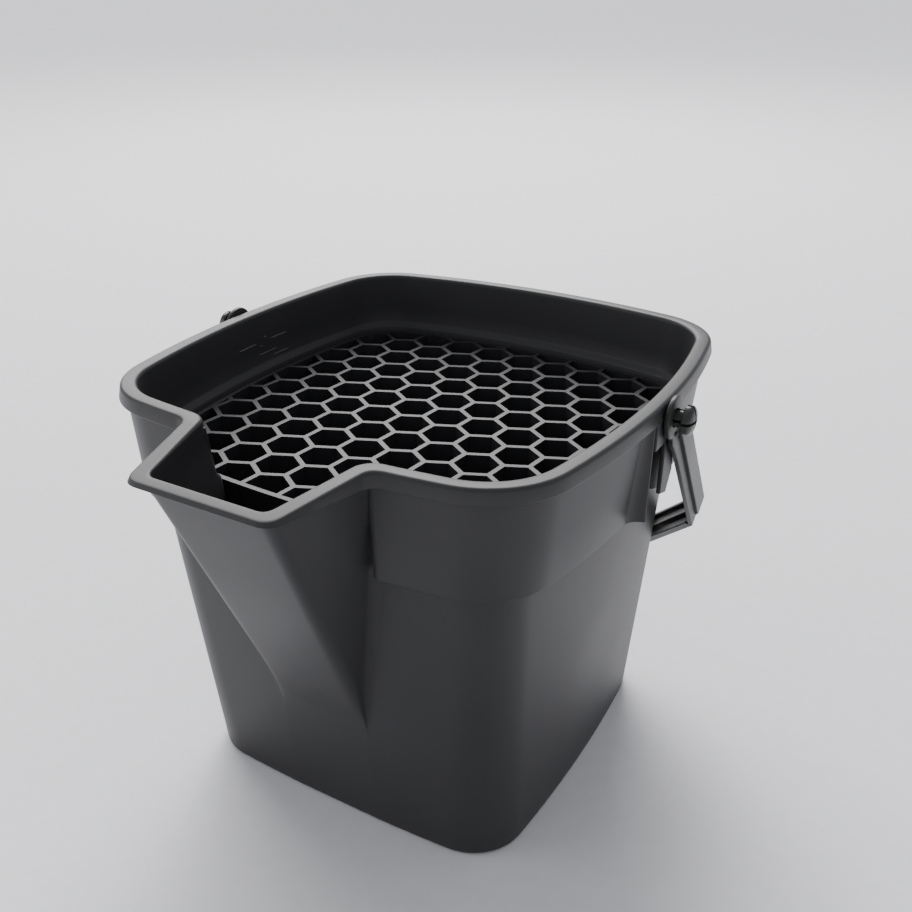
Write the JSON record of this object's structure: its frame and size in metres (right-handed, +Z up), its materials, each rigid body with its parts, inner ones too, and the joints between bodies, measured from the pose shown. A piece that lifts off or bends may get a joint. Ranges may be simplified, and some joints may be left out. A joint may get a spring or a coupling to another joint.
{
  "type": "wash bucket",
  "caption": "Square-sided wash bucket with a flared rim, a V-shaped pouring spout, a swinging bail handle on snap pins and a lift-out honeycomb grit guard.",
  "frame": {"origin": "middle of the flat underside", "axes": "+Z up, -Y towards the pouring spout, X along the bail's pivot axis"},
  "size_m": [0.323, 0.3622, 0.2665],
  "materials": {
    "bucket_plastic": "dark grey moulded polypropylene, satin, faintly textured outside and smoother inside",
    "bail_plastic": "dark grey moulded polypropylene, satin",
    "guard_plastic": "mid grey moulded plastic, satin",
    "pin_plastic": "dark grey nylon, slightly shiny"
  },
  "bodies": {
    "bucket": {"bucket_shell": "bucket_plastic", "snap_pin_right": "pin_plastic", "snap_pin_left": "pin_plastic"},
    "bail": {"bail_handle": "bail_plastic"},
    "guard": {"grit_guard": "guard_plastic"}
  },
  "joints": [
    {"name": "bail_swing", "type": "hinge", "parent": "bucket", "child": "bail", "pos_m": [0, 0, 0.2545], "axis": [1, 0, 0], "range_deg": [0, 223]},
    {"name": "guard_lift", "type": "slide", "parent": "bucket", "child": "guard", "axis": [0, 0, 1], "range_m": [0, 0.07]}
  ]
}
